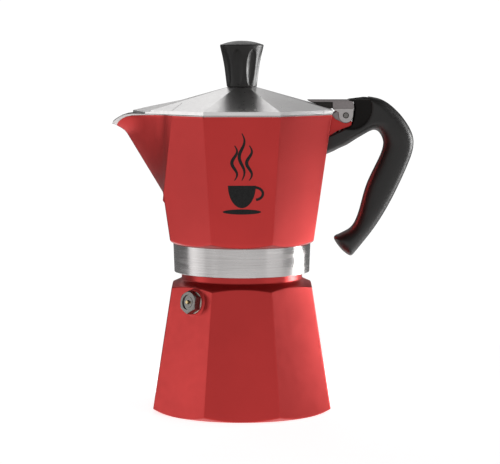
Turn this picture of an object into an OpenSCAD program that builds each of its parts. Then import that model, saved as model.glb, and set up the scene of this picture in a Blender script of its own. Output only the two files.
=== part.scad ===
// Stove-top moka pot, six-cup size, millimetres.
// Origin: centre of the boiler's flat foot. +Z up, +X towards the handle.

/* [Overall] */
// Width across corners of the boiler's foot
foot_d = 113; // [108:1:120]
// Height of the boiler's facets
facet_h = 74; // [70:1:78]
// Width across corners of the upper chamber at its rim
rim_d = 113.6; // [110:0.2:116]

/* [Walls] */
// Wall of the boiler at the middle of a facet
boiler_wall = 2.8; // [2:0.1:4]
// Wall of the upper chamber
chamber_wall = 2.3; // [1.8:0.1:3]
// Sheet thickness of the lid
lid_wall = 1.2; // [0.8:0.1:1.6]

/* [Thread] */
// Pitch of the thread between boiler and upper chamber
pitch = 3.5; // [3:0.25:4]
// Turns of ridge on each side
thread_turns = 2.25; // [1.5:0.25:2.5]

/* [Handle and knob] */
// Width of the handle's grip
grip_w = 17; // [14:1:20]
// Radius of the hinge pin
pin_r = 1.3; // [1:0.1:1.6]
// Number of flutes round the knob
flutes = 8; // [6:1:10]

/* [Hidden] */
$fn = 96;

RED = [0.72, 0.12, 0.12];
ALU = [0.78, 0.78, 0.78];
STEEL = [0.62, 0.63, 0.65];
BRASS = [0.75, 0.62, 0.32];
BLACK = [0.07, 0.07, 0.07];
RUBBER = [0.88, 0.87, 0.82];

// Octagons: corner radius to facet radius
FLAT = cos(22.5);

// Boiler
foot_z = 2.9;
foot_r = foot_d / 2;
shoulder_r = 44.6;
neck_r = 35.7;
neck_bore = 33.5;
neck_top = 95;
boiler_slope = (foot_r - shoulder_r) / (facet_h - foot_z);
shoulder_rise = 0.43;
shoulder_top = facet_h + (shoulder_r - neck_r) * shoulder_rise;

// Thread between boiler neck and collar
crest_h = 1.2;
ridge_root = 2;
ridge_crest = 0.9;
thread_steps = 32;
collar_bore = neck_r + crest_h + 0.5;
collar_crest = neck_r + 0.45;
thread_z = 85.2;

// Upper chamber
collar_z = 82;
collar_top = 99.1;
collar_r0 = 40;
collar_r1 = 40.6;
chamber_z = 101.6;
chamber_r = 45.5;
rim_z = 175.9;
rim_r = rim_d / 2;
chamber_slope = (rim_r - chamber_r) / (rim_z - chamber_z);
under_rise = 0.5;
seat_z = 98.4;
floor_z = 102.4;
column_top = 156;

// Spout
spout_z = 128;
spout_side_z = 128.6;
keel_x = -46.6;
keel_run = 0.6;
flare_z = 163.8;
flare = 0.16;
tip_x = -76.9;
side_x0 = -45.8;
side_y0 = 19;
side_x1 = -40.2;
side_y1 = 33.7;
lip_x = -63.3;
lip_run = 16;
lip_drop = 13.5;
spout_wall = 2.2;

// Lid
lid_gap = 0.1;
lid_z = rim_z + lid_gap;
band_z = 178.1;
lid_r = 57;
lid_rise = 0.29;
boss_r = 8.8;
boss_z = band_z + (lid_r - boss_r) * FLAT * lid_rise;
notch_x = 49.3;
notch_w = 2.6;
beak_x = -64.1;
beak_z = 177.4;

// Hinge
pin_x = 61;
pin_z = 174.5;
lug_w = 12;
ear_gap = 0.2;
ear_t = 1.6;
ear_r = 4.3;
tab_t = 1.6;
tab_z = 183.5;
tab_x0 = 38.8;
tab_x1 = 65.5;
tab_w = lug_w + 2 * (ear_gap + ear_t);

// Handle: fork that the lid's tab swings down into, and the screw from below
head_w = 20;
fork_w = 16.4;
fork_r = 10.7;
fork_x1 = 74.6;
screw_x = 57.8;
screw_r = 2;
screw_top = 170.4;
screw_pad = 160.4;
head_r = 3.8;
head_h = 2.7;

// Knob
knob_z = boss_z + 0.02;
knob_r0 = 8.8;
knob_r1 = 12.9;
knob_edge_z = 215.7;
knob_top_z = 218.1;
flute_az = 32;
insert_r = 3.5;

// Safety valve, on the facet between front and left
valve_az = -135;
valve_z = 67;
valve_side = 3.6;
valve_tilt = atan(boiler_slope * FLAT);
boss_w = 0.7;

function lerp(a, b, t) = a + (b - a) * t;
function boiler_corner(z) = foot_r - boiler_slope * (z - foot_z);
function chamber_corner(z) = chamber_r + chamber_slope * (z - chamber_z);

// Smooth curve through a list of points, k steps between neighbours
function spline(p, k) = [for (i = [0 : len(p) - 2]) for (j = [0 : k - 1])
    let (a = p[max(i - 1, 0)], b = p[i], c = p[i + 1], d = p[min(i + 2, len(p) - 1)], t = j / k)
    0.5 * (2 * b + (c - a) * t + (2 * a - 5 * b + 4 * c - d) * t * t
        + (3 * b - a - 3 * c + d) * t * t * t)];

// Octagonal frustum with a facet facing each of +X, -X, +Y and -Y
module octagon(r0, z0, r1, z1) {
    rotate([0, 0, 22.5]) translate([0, 0, z0]) cylinder(r1 = r0, r2 = r1, h = z1 - z0, $fn = 8);
}

module turned(profile) {
    rotate_extrude() polygon(profile);
}

// Cylinder lying along Y, centred on y = 0
module cross_pin(x, z, r, w) {
    translate([x, w / 2, z]) rotate([90, 0, 0]) cylinder(r = r, h = w);
}

// Side outline in X and Z, extruded along Y and centred on y = 0
module side_cut(w) {
    translate([0, w / 2, 0]) rotate([90, 0, 0]) linear_extrude(height = w) children();
}

// Helical ridge, a right-hand thread; r_in and r_out are its foot and its crest
module ridge(r_in, r_out, w_in, w_out, z0) {
    n = round(thread_turns * thread_steps);
    half_in = (r_out > r_in ? 0.5 : -0.5) * w_in;
    half_out = (r_out > r_in ? 0.5 : -0.5) * w_out;
    ring = [for (i = [0 : n]) let (a = 360 * i / thread_steps, z = z0 + pitch * i / thread_steps)
        each [[r_in * cos(a), r_in * sin(a), z - half_in], [r_in * cos(a), r_in * sin(a), z + half_in],
            [r_out * cos(a), r_out * sin(a), z + half_out],
            [r_out * cos(a), r_out * sin(a), z - half_out]]];
    sides = [for (i = [0 : n - 1]) for (k = [0 : 3])
        let (a = 4 * i + k, b = 4 * i + (k + 1) % 4)
        each [[a, b + 4, b], [a, a + 4, b + 4]]];
    polyhedron(ring, concat([[0, 1, 2, 3]], sides, [[4 * n + 3, 4 * n + 2, 4 * n + 1, 4 * n]]));
}

// Places its child on the valve's axis, with +Z outwards from the facet
module on_valve_axis() {
    rotate([0, 0, valve_az]) translate([boiler_corner(valve_z) * FLAT, valve_side, valve_z])
        rotate([0, 90 - valve_tilt, 0]) children();
}

module tube(r_out, r_in, z0, z1) {
    difference() {
        translate([0, 0, z0]) cylinder(r = r_out, h = z1 - z0);
        translate([0, 0, z0 - 1]) cylinder(r = r_in, h = z1 - z0 + 2);
    }
}

// Boiler: octagonal casting, round inside, with a threaded neck
module boiler() {
    flat0 = boiler_corner(4) * FLAT - boiler_wall;
    flat1 = boiler_corner(facet_h) * FLAT - boiler_wall;
    color(RED) difference() {
        union() {
            intersection() {
                octagon(boiler_corner(0), 0, boiler_corner(80), 80);
                turned([[0, 0], [foot_r - 4.7, 0], [foot_r + 2, 4.1], [foot_r + 2, 60],
                    [shoulder_r + 10, facet_h - 10 * shoulder_rise], [neck_r, shoulder_top],
                    [0, shoulder_top]]);
            }
            cylinder(r = neck_r, h = neck_top);
            on_valve_axis() translate([0, 0, -3]) cylinder(r = 7.6, h = 3 + boss_w);
            on_valve_axis() translate([0, 0, -7]) cylinder(r = 6.6, h = 6);
            ridge(neck_r - 0.6, neck_r + crest_h, ridge_root + 1, ridge_crest, thread_z);
        }
        turned([[0, 3.6], [flat0 - 6, 3.6], [flat0, 9], [flat1, facet_h - 6],
            [neck_bore, facet_h], [neck_bore, 94.2], [34.6, 94.2], [34.6, neck_top + 1],
            [0, neck_top + 1]]);
        on_valve_axis() translate([0, 0, -20]) cylinder(r = 4.1, h = 30);
        on_valve_axis() translate([0, 0, boss_w]) cylinder(r = 12, h = 20);
    }
}

// Valve parts, drawn along +Z from the facet's surface outwards
module valve_body() {
    color(STEEL) on_valve_axis() difference() {
        union() {
            intersection() {
                translate([0, 0, 1.3]) cylinder(r = 12 / 2 / cos(30), h = 4.5, $fn = 6);
                turned([[0, 1.3], [8, 1.3], [8, 4.6], [5.9, 5.8], [0, 5.8]]);
            }
            translate([0, 0, -8]) cylinder(r = 4, h = 10);
        }
        translate([0, 0, -9]) cylinder(r = 1.6, h = 12);
        translate([0, 0, -1.2]) cylinder(r = 3.2, h = 10);
        turned([[0, 5], [4.4, 5], [4.4, 7], [0, 7]]);
    }
}

module valve_washer() {
    color(RUBBER) on_valve_axis() tube(6.4, 4.05, boss_w, 1.3);
}

module valve_seal() {
    color(RUBBER) on_valve_axis() tube(2.7, 0.95, -1.2, -0.5);
}

module valve_stem() {
    color(BRASS) on_valve_axis() union() {
        translate([0, 0, -0.5]) cylinder(r = 2.7, h = 0.7);
        translate([0, 0, -1.6]) cylinder(r = 0.9, h = 8.2);
    }
}

// Coil spring between the stem's head and the cap
module valve_spring() {
    turns = 4;
    steps = 16;
    sides = 6;
    wire = 0.28;
    mean = 2.1;
    z0 = 0.2 + wire;
    rise = 3.1;
    n = turns * steps;
    ring = [for (i = [0 : n]) for (k = [0 : sides - 1])
        let (a = 360 * i / steps, c = 360 * k / sides, r = mean + wire * cos(c))
        [r * cos(a), r * sin(a), z0 + rise * i / n + wire * sin(c)]];
    skin = [for (i = [0 : n - 1]) for (k = [0 : sides - 1])
        let (a = sides * i + k, b = sides * i + (k + 1) % sides)
        each [[a, b + sides, a + sides], [a, b, b + sides]]];
    color(STEEL) on_valve_axis()
        polyhedron(ring, concat([[for (k = [0 : sides - 1]) sides - 1 - k]], skin,
            [[for (k = [0 : sides - 1]) sides * n + k]]));
}

module valve_cap() {
    color(STEEL) on_valve_axis() tube(3.15, 1.3, 4.1, 5.2);
}

// Funnel: coffee basket with a long stem
module funnel() {
    color(ALU) turned([[34.4, 95], [34.4, 94.2], [33.2, 94.2], [32.6, 68.6], [7, 67.6], [5.9, 64],
        [5.2, 8], [4.4, 8], [5.1, 64], [6.3, 68.4], [31.8, 69.4], [32.4, 95]]);
}

// Rings of round holes, a common pattern in pressed strainers
module hole_rings(first, step, rings, r, z0, h) {
    for (k = [0 : rings - 1]) for (i = [0 : 6 * (k + 1) - 1])
        rotate([0, 0, 60 * i / (k + 1)]) translate([first + step * k, 0, z0]) cylinder(r = r, h = h, $fn = 16);
}

module funnel_screen() {
    color(ALU) difference() {
        translate([0, 0, 69.5]) cylinder(r = 31.2, h = 0.6);
        hole_rings(5.6, 5.6, 5, 0.8, 69, 2);
    }
}

// Gasket between the boiler's neck and the upper chamber
module gasket() {
    color(RUBBER) tube(36.2, 28.25, neck_top + 0.05, seat_z - 0.05);
}

module filter_plate() {
    color(ALU) difference() {
        translate([0, 0, seat_z]) cylinder(r = 31.4, h = 0.6);
        hole_rings(5.2, 5.2, 5, 0.7, seat_z - 1, 3);
    }
}

// Keel of the spout: straight, then flaring to the tip
function keel_straight(z) = keel_x - keel_run * (z - spout_side_z);
function keel(z) = keel_straight(z) - flare * pow(max(z - flare_z, 0), 2);

// One level of the spout, in plan: the side starts on the chamber's slanting facet
function spout_level(z, in) =
    let (u = (z - spout_side_z) / (rim_z - spout_side_z),
        sx = lerp(side_x0, side_x1, u) + in * 0.5, sy = in - lerp(side_y0, side_y1, u),
        kx = keel_straight(z) + in * 1.35, f = keel(z) - keel_straight(z),
        half = [for (d = [0, 0.35, 0.65, 0.85, 0.95]) [lerp(sx, kx, d) + f * pow(d, 6), sy * (1 - d), z]])
    concat([[-20, sy * 0.8, z]], half, [[kx + f, 0, z]],
        [for (i = [4 : -1 : 0]) [half[i][0], -half[i][1], z]], [[-20, -sy * 0.8, z]]);

// Solid inside the spout's surface moved inwards by in
module spout_form(in, z0) {
    levels = concat([z0, 140, 150, flare_z], [for (k = [1 : 7]) flare_z + 1.9 * k]);
    n = 13;
    m = len(levels);
    points = [for (z = levels) each spout_level(z, in)];
    skin = [for (i = [0 : m - 2]) for (k = [0 : n - 1])
        let (a = n * i + k, b = n * i + (k + 1) % n)
        each [[a, b + n, a + n], [a, b, b + n]]];
    base = [for (k = [1 : n - 2]) [0, k + 1, k]];
    top = [for (k = [1 : n - 2]) [n * (m - 1), n * (m - 1) + k, n * (m - 1) + k + 1]];
    polyhedron(points, concat(base, skin, top));
}

// Everything above the curved lip of the spout
module above_lip() {
    lip = [for (a = [0 : 10 : 60]) [lip_x - lip_run * sin(a), rim_z - lip_drop * (1 - cos(a))]];
    side_cut(80) polygon(concat([[-20, 200], [-20, rim_z]], lip, [[-90, rim_z - 8], [-90, 200]]));
}

// Upper chamber: cup with collar, column, spout and hinge lug in one casting
module upper_chamber() {
    color(RED) difference() {
        union() {
            intersection() {
                union() {
                    octagon(chamber_corner(98), 98, rim_r, rim_z);
                    difference() {
                        spout_form(0, spout_z);
                        above_lip();
                        translate([tip_x - 20, -20, 100]) cube([20, 40, 90]);
                    }
                }
                turned([[0, 90], [39, 90], [39, collar_top - 0.8], [collar_r1, collar_top],
                    [90, collar_top + (90 - collar_r1) * under_rise], [90, 200], [0, 200]]);
            }
            turned([[0, collar_z], [collar_r0, collar_z], [collar_r1, collar_top], [30, collar_top + 2],
                [0, collar_top + 2]]);
            bracket();
        }
        cup_space();
        spout_space();
        underside();
        cross_pin(pin_x, pin_z, pin_r + 0.02, 40);
        translate([screw_x, 0, 150]) cylinder(r = screw_r, h = screw_top + 0.5 - 150);
        column_bore();
    }
}

// Inside of the cup, round the column
module cup_space() {
    wall = chamber_wall;
    difference() {
        intersection() {
            octagon(chamber_corner(100) - wall, 100, chamber_corner(180) - wall, 180);
            turned([[0, floor_z], [33, floor_z], [38, floor_z + 1.4], [42, floor_z + 5], [60, floor_z + 26],
                [60, 190], [0, 190]]);
        }
        turned([[0, 95], [12, 95], [9, floor_z + 1.5], [7, 110], [6, column_top - 3], [4.5, column_top],
            [0, column_top]]);
    }
}

// Inside of the spout, closed below its own floor
module spout_space() {
    difference() {
        spout_form(spout_wall, spout_z + 5);
        translate([-41, -60, 120]) cube([60, 120, 6]);
        translate([-20.5, -60, 100]) cube([30, 120, 100]);
    }
}

// Threaded bore, gasket seat and the hollow that leads to the column
module underside() {
    difference() {
        turned([[0, 80], [collar_bore, 80], [collar_bore, 94.4], [36.4, 94.4], [36.4, seat_z],
            [31.6, seat_z], [31.6, seat_z + 0.7], [29, seat_z + 0.7], [4, floor_z - 1.4], [0, floor_z - 1.4]]);
        ridge(collar_bore + 0.5, collar_crest, ridge_root + 0.9, ridge_crest, thread_z + pitch / 2 - pitch);
    }
}

module column_bore() {
    translate([0, 0, 96]) cylinder(r = 3.4, h = 54);
    for (a = [0, 90]) rotate([0, 0, a]) cross_pin(0, column_top - 7, 1.6, 20);
}

// Lug on the chamber's back that carries the hinge pin and the handle
module bracket() {
    side_cut(lug_w) polygon([[44, 158.8], [51.5, 162.2], [64.3, 168.5], [64.9, 171.4], [56.3, 177.3],
        [52.3, 175.1], [44, 175]]);
    cross_pin(pin_x, pin_z, ear_r + 0.4, lug_w);
}

// Handle's side outline: round the outside, across the end, then back along the inside
function handle_outer() = spline([[62.1, 183.8], [68.8, 184.9], [75.7, 185.3], [84.4, 182.7], [93.5, 174.9],
    [100.1, 164.8], [101.4, 156.8], [98, 145.2], [88.4, 124.6], [78.4, 108.2], [65.3, 91.4]], 4);
function handle_inner() = spline([[54.3, 101.7], [59.1, 104.9], [64.8, 108.5], [68.7, 116.1], [73.8, 133.9],
    [82.4, 152.6], [83, 160.8], [78.2, 165.8], [69.3, 161.6], [59.3, 155.5], [49.2, 151.2]], 4);

module handle_outline() {
    polygon(concat(handle_outer(), [[63.9, 91], [57.7, 95.9], [54.3, 101.1]], handle_inner(),
        [[49.8, 151.4], [52.7, 162.7], [64.4, 168.3], [65.9, 172], [66.1, 175], [66.6, 178.9], [66.3, 182.2],
        [64.3, 182.7]]));
}

module handle() {
    color(BLACK) difference() {
        intersection() {
            side_cut(grip_w + 5) handle_outline();
            // seen from behind: a wide head, a narrower grip, then wider again at its end
            rotate([90, 0, 90]) linear_extrude(height = 120) polygon([[-head_w / 2, 190], [-head_w / 2, 163],
                [-grip_w / 2, 148], [-grip_w / 2, 130], [-grip_w / 2 - 2.5, 80], [grip_w / 2 + 2.5, 80],
                [grip_w / 2, 130], [grip_w / 2, 148], [head_w / 2, 163], [head_w / 2, 190]]);
        }
        // chamber wall that the arm's end is shaped to, and the slot for the lid's tab
        octagon(chamber_corner(98) + 0.1, 98, rim_r + 0.1, rim_z);
        side_cut(lug_w + 0.4) polygon([[44, 158.8], [51.3, 162], [64.5, 168.4], [65.1, 172.9], [44, 181]]);
        translate([pin_x, -fork_w / 2, pin_z]) cube([fork_x1 - pin_x, fork_w, 20]);
        side_cut(fork_w) polygon(concat([[pin_x, pin_z + 8], [pin_x, pin_z], [64.8, pin_z - 6.6]],
            [for (a = [-42 : 12 : 42]) [pin_x + fork_r * cos(a), pin_z + fork_r * sin(a)]]));
        translate([screw_x, 0, 140]) cylinder(r = screw_r + 0.3, h = 40);
        translate([screw_x, 0, 140]) cylinder(r = head_r + 0.6, h = screw_pad - 140);
    }
}

module handle_screw() {
    color(STEEL) difference() {
        union() {
            translate([screw_x, 0, screw_pad - 0.7 - head_h]) cylinder(r = head_r, h = head_h);
            translate([screw_x, 0, screw_pad - 1])
                cylinder(r = screw_r - 0.06, h = screw_top - screw_pad + 1);
        }
        cross_slot(screw_x, screw_pad - 0.7 - head_h);
    }
}

// Cross recess in a screw's head, opening downwards at height z
module cross_slot(x, z) {
    translate([x, 0, z + 0.5]) cube([4.4, 1, 2.6], center = true);
    translate([x, 0, z + 0.5]) cube([1, 4.4, 2.6], center = true);
}

module handle_washer() {
    color(STEEL) translate([screw_x, 0, screw_pad - 0.65]) tube(head_r + 0.3, screw_r + 0.1, 0, 0.6);
}

module hinge_pin() {
    color(STEEL) cross_pin(pin_x, pin_z, pin_r, tab_w + 0.4);
}

// Outer form of the lid; drop and in make the same form for its inside
module lid_form(in, drop) {
    r = lid_r - in;
    top = band_z - drop;
    octagon(r, lid_z - (drop > 0 ? 1 : 0), r, top);
    octagon(r, top, boss_r, top + (r - boss_r) * FLAT * lid_rise);
    beak(in, drop);
}

// Roof over the spout
module beak(in, drop) {
    z0 = lid_z - (drop > 0 ? 1 : 0);
    k = 1 - in / 34;
    // half plan: root, valley, rim corner, eave, nose
    a = [[-30, 0], [-34.7 + in, -26.4 * k], [side_x1 + in, -side_y1 * k], [-56.8 + in, -17 * k],
        [beak_x + in, -1.2]];
    h = [184.6, 181, band_z, 177.2, beak_z];
    up = [for (i = [0 : 4]) [a[i][0], a[i][1], max(h[i] - drop, z0 + 0.2)]];
    low = [for (i = [0 : 4]) [a[i][0], a[i][1], z0]];
    other = [for (i = [1 : 4]) [a[i][0], -a[i][1], max(h[i] - drop, z0 + 0.2)]];
    other_low = [for (i = [1 : 4]) [a[i][0], -a[i][1], z0]];
    crest = [[-54.8 + in / 2, 0, 179.5 - drop]];
    p = concat(up, low, other, other_low, crest);
    // 0-4 near top, 5-9 near base, 10-13 far top, 14-17 far base, 18 crest
    polyhedron(p, [[1, 2, 0], [2, 3, 0], [3, 18, 0], [3, 4, 18], [4, 13, 18], [13, 12, 18], [18, 12, 0],
        [12, 11, 0], [11, 10, 0],
        [7, 2, 1], [6, 7, 1], [8, 3, 2], [7, 8, 2], [9, 4, 3], [8, 9, 3], [17, 13, 4], [9, 17, 4],
        [16, 12, 13], [17, 16, 13], [15, 11, 12], [16, 15, 12], [14, 10, 11], [15, 14, 11],
        [6, 1, 0], [5, 6, 0], [14, 5, 0], [10, 14, 0],
        [7, 6, 5], [8, 7, 5], [9, 8, 5], [17, 9, 5], [16, 17, 5], [15, 16, 5], [14, 15, 5]]);
}

// Lid: pressed shell with a roof over the spout and a tab that ends in two ears
module lid() {
    color(ALU) difference() {
        union() {
            difference() {
                lid_form(0, 0);
                lid_form(1.6, lid_wall);
            }
            translate([0, 0, boss_z - 3]) cylinder(r = boss_r - 0.6, h = 3);
            side_cut(lug_w) polygon([[tab_x0, tab_z], [tab_x0, tab_z - 1], [49.5, 178.4], [54, 178.4],
                [54, tab_z]]);
            side_cut(tab_w) polygon([[tab_x0, tab_z], [tab_x0 + 1, tab_z - tab_t], [tab_x1, tab_z - tab_t],
                [tab_x1, tab_z]]);
            ears();
        }
        side_cut(lug_w + 2 * ear_gap) polygon([[53.9, 160], [53.9, tab_z - tab_t - 0.1],
            [80, tab_z - tab_t - 0.1], [80, 160]]);
        cross_pin(pin_x, pin_z, pin_r + 0.05, 40);
        // notches beside the tab, which pass the handle's fork when the lid is open
        for (y = [tab_w / 2, -tab_w / 2 - notch_w]) translate([notch_x, y, 170]) cube([6, notch_w, 9.8]);
        translate([0, 0, 170]) cylinder(r = 2.1, h = 40);
    }
}

// Side plates of the hinge tab, round at the pin
module ears() {
    side_cut(tab_w) difference() {
        union() {
            translate([pin_x, pin_z]) circle(r = ear_r);
            polygon([[53.2, tab_z - 1], [53.2, 177.5], [56.9, 175.9], [56.7, pin_z], [65.3, pin_z],
                [65.9, 178.9], [tab_x1, tab_z - 1]]);
        }
        polygon([[40, 160], [40, 177.5], [54.1, 177.5], [54.1, 160]]);
    }
}

// Knob: fluted, flaring upwards, with a low dome
module knob() {
    color(BLACK) difference() {
        turned([[0, knob_z], [knob_r0, knob_z], [knob_r0 + 0.3, 197], [10.2, 205], [11.7, 211.5],
            [knob_r1, knob_edge_z - 0.6], [knob_r1 - 0.5, knob_edge_z], [9, 217.3], [4.5, knob_top_z - 0.1],
            [0, knob_top_z]]);
        for (i = [0 : flutes - 1]) rotate([0, 0, flute_az + 360 * i / flutes])
            translate([knob_r0 + 2.1, 0, knob_z - 3]) rotate([0, 9.5, 0]) cylinder(r = 3.1, h = 26);
        translate([0, 0, knob_z - 1]) cylinder(r = insert_r, h = 14);
        translate([0, 0, knob_z - 1]) cylinder(r = 2.2, h = 18);
    }
}

module knob_insert() {
    color(BRASS) tube(insert_r - 0.05, 1.95, knob_z + 0.05, knob_z + 12);
}

module knob_screw() {
    color(STEEL) difference() {
        union() {
            translate([0, 0, boss_z - 5.4]) cylinder(r = 3.8, h = 2.3);
            translate([0, 0, boss_z - 4]) cylinder(r = 1.9, h = 16.5);
        }
        cross_slot(0, boss_z - 5.4);
    }
}

boiler();
valve_body();
valve_washer();
valve_seal();
valve_stem();
valve_spring();
valve_cap();
funnel();
funnel_screen();
gasket();
filter_plate();
upper_chamber();
handle();
handle_screw();
handle_washer();
hinge_pin();
lid();
knob();
knob_insert();
knob_screw();
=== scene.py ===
"""Moka pot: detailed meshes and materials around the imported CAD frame.

Outlines are worked out in millimetres from the frame's own boxes and turned to metres when a mesh is made.
"""
import math
import bmesh
import bpy
import numpy as np
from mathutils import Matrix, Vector


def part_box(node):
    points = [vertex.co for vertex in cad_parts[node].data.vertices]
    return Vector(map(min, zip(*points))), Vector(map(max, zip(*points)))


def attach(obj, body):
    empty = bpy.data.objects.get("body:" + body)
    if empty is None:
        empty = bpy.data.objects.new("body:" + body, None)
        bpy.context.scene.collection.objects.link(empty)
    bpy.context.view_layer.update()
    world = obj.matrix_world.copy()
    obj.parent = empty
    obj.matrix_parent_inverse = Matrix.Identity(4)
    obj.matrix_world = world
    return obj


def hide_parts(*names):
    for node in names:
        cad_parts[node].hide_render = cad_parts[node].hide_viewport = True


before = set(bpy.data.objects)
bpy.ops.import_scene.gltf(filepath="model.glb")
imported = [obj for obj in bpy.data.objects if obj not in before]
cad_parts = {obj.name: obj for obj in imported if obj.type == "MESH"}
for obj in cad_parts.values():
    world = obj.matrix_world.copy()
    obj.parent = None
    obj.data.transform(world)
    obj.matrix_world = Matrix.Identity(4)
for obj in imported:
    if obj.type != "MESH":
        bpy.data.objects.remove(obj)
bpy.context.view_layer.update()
MM = 0.001


def span(node):
    """Lowest and highest corner of a CAD node, in millimetres."""
    low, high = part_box(node)
    return np.array(low) / MM, np.array(high) / MM


# ------------------------------------------------------------------ driving dimensions, mm
FLAT = math.cos(math.radians(22.5))
PIN_LOW, PIN_HIGH = span("hinge_pin")
NECK_TOP = span("boiler")[1][2]
COLLAR_Z = span("upper_chamber")[0][2]

RIM_Z = 175.9
RIM_R = 56.8
PIN_X = (PIN_LOW[0] + PIN_HIGH[0]) / 2
PIN_Z = (PIN_LOW[2] + PIN_HIGH[2]) / 2
PIN_R = (PIN_HIGH[0] - PIN_LOW[0]) / 2
FACET_H = 74.0
FOOT_R, FOOT_Z = 56.5, 2.9
SHOULDER_R = 44.6
BOILER_SLOPE = (FOOT_R - SHOULDER_R) / (FACET_H - FOOT_Z)
NECK_R, NECK_BORE = 35.7, 33.5
CHAMBER_Z, CHAMBER_R = 101.6, 45.5
CHAMBER_SLOPE = (RIM_R - CHAMBER_R) / (RIM_Z - CHAMBER_Z)
COLLAR_TOP = 99.1
COLLAR_R0, COLLAR_R1 = 40.0, 40.6
UNDER_RISE = 0.5
FLOOR_Z = 102.4
WALL = 2.3
PAINT = 0.35


def clamp(v, a, b):
    return max(a, min(b, v))


def lerp(a, b, t):
    return a + (b - a) * t


def smoothstep(a, b, v):
    t = clamp((v - a) / (b - a), 0, 1)
    return t * t * (3 - 2 * t)


def circle(radius, steps):
    """Points once round a circle."""
    turn = [2 * math.pi * i / steps for i in range(steps)]
    return [(radius * math.cos(a), radius * math.sin(a)) for a in turn]


def octagon(corner):
    """Corners of an octagon with a side towards the front."""
    turn = [math.radians(22.5 + 45 * k) for k in range(8)]
    return [(corner * math.cos(a), corner * math.sin(a)) for a in turn]


# ------------------------------------------------------------------ mesh helpers
def add_mesh(name, verts, faces, material, body, smooth=True, weighted=True):
    """Makes a piece from millimetre vertices and rides it on a body."""
    mesh = bpy.data.meshes.new(name)
    mesh.from_pydata([tuple(float(c) * MM for c in v) for v in verts], [], faces)
    mesh.update()
    bm = bmesh.new()
    bm.from_mesh(mesh)
    bmesh.ops.remove_doubles(bm, verts=bm.verts, dist=1e-7)
    bmesh.ops.dissolve_degenerate(bm, edges=bm.edges, dist=1e-8)
    bmesh.ops.recalc_face_normals(bm, faces=bm.faces)
    bm.to_mesh(mesh)
    bm.free()
    obj = bpy.data.objects.new(name, mesh)
    bpy.context.scene.collection.objects.link(obj)
    finish_piece(obj, material, body, smooth, weighted)
    return obj


def finish_piece(obj, material, body, smooth=True, weighted=True):
    obj.data.materials.clear()
    obj.data.materials.append(material)
    for p in obj.data.polygons:
        p.use_smooth = smooth
    if weighted:
        m = obj.modifiers.new("weighted_normals", "WEIGHTED_NORMAL")
        m.keep_sharp = True
        m.weight = 60
    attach(obj, body)


def ring_grid(columns, closed):
    """Quads over columns of points round an axis; closed says each column is a loop."""
    n, m = len(columns), len(columns[0])
    verts = [p for c in columns for p in c]
    faces = []
    for i in range(n):
        j = (i + 1) % n
        for k in range(m if closed else m - 1):
            q = (k + 1) % m
            faces.append((i * m + k, j * m + k, j * m + q, i * m + q))
    return verts, faces


def swept_shell(name, columns, material, body, closed=False):
    """Shell through columns of (angle, radius, height) points that go once round the axis."""
    points = [[(r * math.cos(a), r * math.sin(a), z) for a, r, z in c] for c in columns]
    verts, faces = ring_grid(points, closed)
    return add_mesh(name, verts, faces, material, body)


def polar_piece(name, angles, column, material, body, closed=False):
    """Column(angle) gives (radius, height) pairs; the piece is the shell they sweep."""
    columns = [[(a, r, z) for r, z in column(a)] for a in angles]
    return swept_shell(name, columns, material, body, closed)


def lathe(name, profile, material, body, steps=96, closed=False):
    angles = [2 * math.pi * i / steps for i in range(steps)]
    return polar_piece(name, angles, lambda a: profile, material, body, closed)


def rounded(profile, radius, steps=3, closed=False):
    """Rounds the corners of an outline, each by at most the given radius."""
    n = len(profile)
    out = []
    for i, p in enumerate(profile):
        if not closed and i in (0, n - 1):
            out.append(tuple(p))
            continue
        a = np.array(profile[(i - 1) % n], float)
        b = np.array(p, float)
        c = np.array(profile[(i + 1) % n], float)
        u, v = a - b, c - b
        lu, lv = np.linalg.norm(u), np.linalg.norm(v)
        t = min(radius, lu * 0.45, lv * 0.45)
        s, e = b + u / lu * t, b + v / lv * t
        for k in range(steps + 1):
            w = k / steps
            out.append(tuple((1 - w) ** 2 * s + 2 * w * (1 - w) * b + w * w * e))
    return out


def spline(points, k):
    """Catmull-Rom curve through the points, k steps between neighbours."""
    p = [np.array(q, float) for q in points]
    out = []
    for i in range(len(p) - 1):
        a, b, c, d = p[max(i - 1, 0)], p[i], p[i + 1], p[min(i + 2, len(p) - 1)]
        for j in range(k):
            t = j / k
            out.append(0.5 * (2 * b + (c - a) * t + (2 * a - 5 * b + 4 * c - d) * t * t
                              + (3 * b - a - 3 * c + d) * t ** 3))
    out.append(p[-1])
    return out


def slab(name, outline, y0, y1, bevel, material, body):
    """Side outline in X and Z, given thickness along Y, with bevelled rims."""
    n = len(outline)
    verts = [(x, y0, z) for x, z in outline] + [(x, y1, z) for x, z in outline]
    faces = [tuple(range(n)), tuple(range(2 * n - 1, n - 1, -1))]
    faces += [(i, (i + 1) % n, n + (i + 1) % n, n + i) for i in range(n)]
    obj = add_mesh(name, verts, faces, material, body, weighted=False)
    b = obj.modifiers.new("bevel", "BEVEL")
    b.width = bevel * MM
    b.segments = 3
    b.limit_method = "ANGLE"
    b.angle_limit = math.radians(30)
    w = obj.modifiers.new("weighted_normals", "WEIGHTED_NORMAL")
    w.keep_sharp = True
    return obj


def apply_modifiers(obj):
    """Turns the modifiers' result into the piece's own mesh."""
    graph = bpy.context.evaluated_depsgraph_get()
    mesh = bpy.data.meshes.new_from_object(obj.evaluated_get(graph))
    old = obj.data
    obj.modifiers.clear()
    obj.data = mesh
    bpy.data.meshes.remove(old)


# ------------------------------------------------------------------ materials
def new_material(name):
    m = bpy.data.materials.new(name)
    m.use_nodes = True
    t = m.node_tree
    t.nodes.clear()
    out = t.nodes.new("ShaderNodeOutputMaterial")
    bsdf = t.nodes.new("ShaderNodeBsdfPrincipled")
    t.links.new(bsdf.outputs["BSDF"], out.inputs["Surface"])
    return m, t, bsdf


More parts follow.
